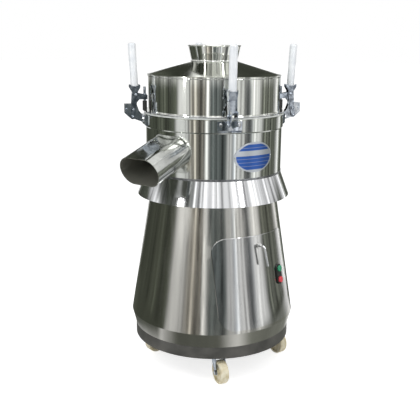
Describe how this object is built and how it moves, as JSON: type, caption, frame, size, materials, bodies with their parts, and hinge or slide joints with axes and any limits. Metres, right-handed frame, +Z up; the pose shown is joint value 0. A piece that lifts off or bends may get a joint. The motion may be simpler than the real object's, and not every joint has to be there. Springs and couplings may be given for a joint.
{
  "type": "vibrating sieve",
  "caption": "Round vibrating sieve for powders: screen drum under a lidded cover held by toggle clamps, on springs over a tapered motor stand on casters.",
  "frame": {"origin": "on the machine's upright axis, at the floor the wheels stand on", "axes": "+Z up along the upright axis, -Y towards the front with the outlet and the door, +X to the right seen from the front"},
  "size_m": [0.565, 0.6923, 1.0451],
  "materials": {
    "polished_steel": "polished",
    "satin_steel": "satin polished",
    "clamp_steel": "satin",
    "machined_steel": "machined",
    "base_paint": "matte",
    "zinc_steel": "zinc plated",
    "cast_housing": "painted",
    "wheel_nylon": "satin",
    "grip_plastic": "gloss",
    "black_rubber": "matte",
    "seal_rubber": "matte",
    "bezel_plastic": "satin",
    "green_plastic": "gloss",
    "red_plastic": "gloss",
    "nameplate_foil": "satin"
  },
  "bodies": {
    "base": {"base_frame": "base_paint", "caster_plates": "zinc_steel", "cone_shell": "satin_steel", "spring_deck": "machined_steel", "springs": "machined_steel", "motor_body": "cast_housing"},
    "door": {"access_door": "polished_steel", "button_station": "bezel_plastic"},
    "latch": {"door_latch": "polished_steel"},
    "start": {"start_button": "green_plastic"},
    "stop": {"stop_button": "red_plastic"},
    "drive": {"motor_shaft": "machined_steel", "coupling_spider": "black_rubber"},
    "vibrator": {"main_shaft": "machined_steel", "upper_weight": "cast_housing", "lower_weight": "cast_housing"},
    "screen_body": {"suspension_plate": "machined_steel", "bearing_housing": "cast_housing", "bearings": "machined_steel", "discharge_drum": "polished_steel", "drum_floor": "polished_steel", "fine_spout": "polished_steel", "skirt": "polished_steel", "nameplate": "nameplate_foil", "screen_ring": "polished_steel", "screen_mesh": "satin_steel", "cover_seal": "seal_rubber", "clamp_brackets": "clamp_steel"},
    "cover": {"cover_drum": "polished_steel", "cover_lid": "polished_steel", "hopper": "polished_steel", "coarse_spout": "polished_steel"},
    "swivel_1": {"caster_fork_1": "zinc_steel"},
    "wheel_1": {"caster_wheel_1": "wheel_nylon"},
    "swivel_2": {"caster_fork_2": "zinc_steel"},
    "wheel_2": {"caster_wheel_2": "wheel_nylon"},
    "swivel_3": {"caster_fork_3": "zinc_steel"},
    "wheel_3": {"caster_wheel_3": "wheel_nylon"},
    "swivel_4": {"caster_fork_4": "zinc_steel"},
    "wheel_4": {"caster_wheel_4": "wheel_nylon"},
    "arm_1": {"clamp_arm_1": "clamp_steel", "clamp_pad_1": "black_rubber"},
    "handle_1": {"clamp_handle_1": "clamp_steel", "clamp_grip_1": "grip_plastic"},
    "link_1": {"clamp_link_1": "clamp_steel"},
    "arm_2": {"clamp_arm_2": "clamp_steel", "clamp_pad_2": "black_rubber"},
    "handle_2": {"clamp_handle_2": "clamp_steel", "clamp_grip_2": "grip_plastic"},
    "link_2": {"clamp_link_2": "clamp_steel"},
    "arm_3": {"clamp_arm_3": "clamp_steel", "clamp_pad_3": "black_rubber"},
    "handle_3": {"clamp_handle_3": "clamp_steel", "clamp_grip_3": "grip_plastic"},
    "link_3": {"clamp_link_3": "clamp_steel"},
    "arm_4": {"clamp_arm_4": "clamp_steel", "clamp_pad_4": "black_rubber"},
    "handle_4": {"clamp_handle_4": "clamp_steel", "clamp_grip_4": "grip_plastic"},
    "link_4": {"clamp_link_4": "clamp_steel"}
  },
  "joints": [
    {"name": "door_hinge", "type": "hinge", "parent": "base", "child": "door", "pos_m": [0.16709, -0.21006, 0.184], "axis": [0.7826, 0.6225, 0], "range_deg": [0, 25]},
    {"name": "latch_turn", "type": "hinge", "parent": "door", "child": "latch", "pos_m": [0.14219, -0.17875, 0.436], "axis": [0.6148, -0.7729, 0.1568], "range_deg": [0, 90]},
    {"name": "start_press", "type": "slide", "parent": "door", "child": "start", "axis": [-0.8466, 0.5087, -0.1568], "range_m": [0, 0.0025], "stiffness_N_per_m": 300},
    {"name": "stop_press", "type": "slide", "parent": "door", "child": "stop", "axis": [-0.8466, 0.5087, -0.1568], "range_m": [0, 0.0025], "stiffness_N_per_m": 300},
    {"name": "motor_spin", "type": "hinge", "parent": "base", "child": "drive", "pos_m": [0, 0, 0.34], "axis": [0, 0, 1], "continuous": true},
    {"name": "screen_shake", "type": "slide", "parent": "base", "child": "screen_body", "axis": [0, 0, 1], "range_m": [-0.003, 0.003], "stiffness_N_per_m": 90000, "springref_m": 0.0051, "deforming": ["springs"]},
    {"name": "vibrator_spin", "type": "hinge", "parent": "screen_body", "child": "vibrator", "pos_m": [0, 0, 0.56], "axis": [0, 0, 1], "continuous": true},
    {"name": "cover_lift", "type": "slide", "parent": "screen_body", "child": "cover", "axis": [0, 0, 1], "range_m": [0, 0.036]},
    {"name": "swivel_1_turn", "type": "hinge", "parent": "base", "child": "swivel_1", "pos_m": [0.01865, -0.21319, 0.088], "axis": [0, 0, 1], "continuous": true},
    {"name": "wheel_1_roll", "type": "hinge", "parent": "swivel_1", "child": "wheel_1", "pos_m": [0.02964, -0.23675, 0.0375], "axis": [0.9063, 0.4226, 0], "continuous": true},
    {"name": "swivel_2_turn", "type": "hinge", "parent": "base", "child": "swivel_2", "pos_m": [0.21319, 0.01865, 0.088], "axis": [0, 0, 1], "continuous": true},
    {"name": "wheel_2_roll", "type": "hinge", "parent": "swivel_2", "child": "wheel_2", "pos_m": [0.2281, -0.00265, 0.0375], "axis": [0.8192, 0.5736, 0], "continuous": true},
    {"name": "swivel_3_turn", "type": "hinge", "parent": "base", "child": "swivel_3", "pos_m": [-0.01865, 0.21319, 0.088], "axis": [0, 0, 1], "continuous": true},
    {"name": "wheel_3_roll", "type": "hinge", "parent": "swivel_3", "child": "wheel_3", "pos_m": [0.00387, 0.20019, 0.0375], "axis": [0.5, 0.866, 0], "continuous": true},
    {"name": "swivel_4_turn", "type": "hinge", "parent": "base", "child": "swivel_4", "pos_m": [-0.21319, -0.01865, 0.088], "axis": [0, 0, 1], "continuous": true},
    {"name": "wheel_4_roll", "type": "hinge", "parent": "swivel_4", "child": "wheel_4", "pos_m": [-0.19356, -0.00159, 0.0375], "axis": [-0.6561, 0.7547, 0], "continuous": true},
    {"name": "clamp_1_arm", "type": "hinge", "parent": "screen_body", "child": "arm_1", "pos_m": [0.05341, -0.25129, 0.8526], "axis": [0.9781, 0.2079, 0], "range_deg": [0, 95]},
    {"name": "clamp_1_handle", "type": "hinge", "parent": "arm_1", "child": "handle_1", "pos_m": [0.05227, -0.24591, 0.8869], "axis": [0.9781, 0.2079, 0], "range_deg": [-18, 0]},
    {"name": "clamp_1_link", "type": "hinge", "parent": "screen_body", "child": "link_1", "pos_m": [0.05451, -0.25647, 0.8185], "axis": [0.9781, 0.2079, 0], "range_deg": [-27, 0]},
    {"name": "clamp_2_arm", "type": "hinge", "parent": "screen_body", "child": "arm_2", "pos_m": [0.25129, 0.05341, 0.8526], "axis": [-0.2079, 0.9781, 0], "range_deg": [0, 95]},
    {"name": "clamp_2_handle", "type": "hinge", "parent": "arm_2", "child": "handle_2", "pos_m": [0.24591, 0.05227, 0.8869], "axis": [-0.2079, 0.9781, 0], "range_deg": [-18, 0]},
    {"name": "clamp_2_link", "type": "hinge", "parent": "screen_body", "child": "link_2", "pos_m": [0.25647, 0.05451, 0.8185], "axis": [-0.2079, 0.9781, 0], "range_deg": [-27, 0]},
    {"name": "clamp_3_arm", "type": "hinge", "parent": "screen_body", "child": "arm_3", "pos_m": [-0.05341, 0.25129, 0.8526], "axis": [-0.9781, -0.2079, 0], "range_deg": [0, 95]},
    {"name": "clamp_3_handle", "type": "hinge", "parent": "arm_3", "child": "handle_3", "pos_m": [-0.05227, 0.24591, 0.8869], "axis": [-0.9781, -0.2079, 0], "range_deg": [-18, 0]},
    {"name": "clamp_3_link", "type": "hinge", "parent": "screen_body", "child": "link_3", "pos_m": [-0.05451, 0.25647, 0.8185], "axis": [-0.9781, -0.2079, 0], "range_deg": [-27, 0]},
    {"name": "clamp_4_arm", "type": "hinge", "parent": "screen_body", "child": "arm_4", "pos_m": [-0.25129, -0.05341, 0.8526], "axis": [0.2079, -0.9781, 0], "range_deg": [0, 95]},
    {"name": "clamp_4_handle", "type": "hinge", "parent": "arm_4", "child": "handle_4", "pos_m": [-0.24591, -0.05227, 0.8869], "axis": [0.2079, -0.9781, 0], "range_deg": [-18, 0]},
    {"name": "clamp_4_link", "type": "hinge", "parent": "screen_body", "child": "link_4", "pos_m": [-0.25647, -0.05451, 0.8185], "axis": [0.2079, -0.9781, 0], "range_deg": [-27, 0]}
  ],
  "couplings": [
    {"joint": "vibrator_spin", "follows": "motor_spin", "ratio": 1},
    {"joint": "clamp_1_arm", "follows": "cover_lift", "rad_per_m": 46},
    {"joint": "clamp_1_handle", "follows": "cover_lift", "rad_per_m": -8.602},
    {"joint": "clamp_1_link", "follows": "cover_lift", "rad_per_m": -12.972},
    {"joint": "clamp_2_arm", "follows": "cover_lift", "rad_per_m": 46},
    {"joint": "clamp_2_handle", "follows": "cover_lift", "rad_per_m": -8.602},
    {"joint": "clamp_2_link", "follows": "cover_lift", "rad_per_m": -12.972},
    {"joint": "clamp_3_arm", "follows": "cover_lift", "rad_per_m": 46},
    {"joint": "clamp_3_handle", "follows": "cover_lift", "rad_per_m": -8.602},
    {"joint": "clamp_3_link", "follows": "cover_lift", "rad_per_m": -12.972},
    {"joint": "clamp_4_arm", "follows": "cover_lift", "rad_per_m": 46},
    {"joint": "clamp_4_handle", "follows": "cover_lift", "rad_per_m": -8.602},
    {"joint": "clamp_4_link", "follows": "cover_lift", "rad_per_m": -12.972}
  ]
}
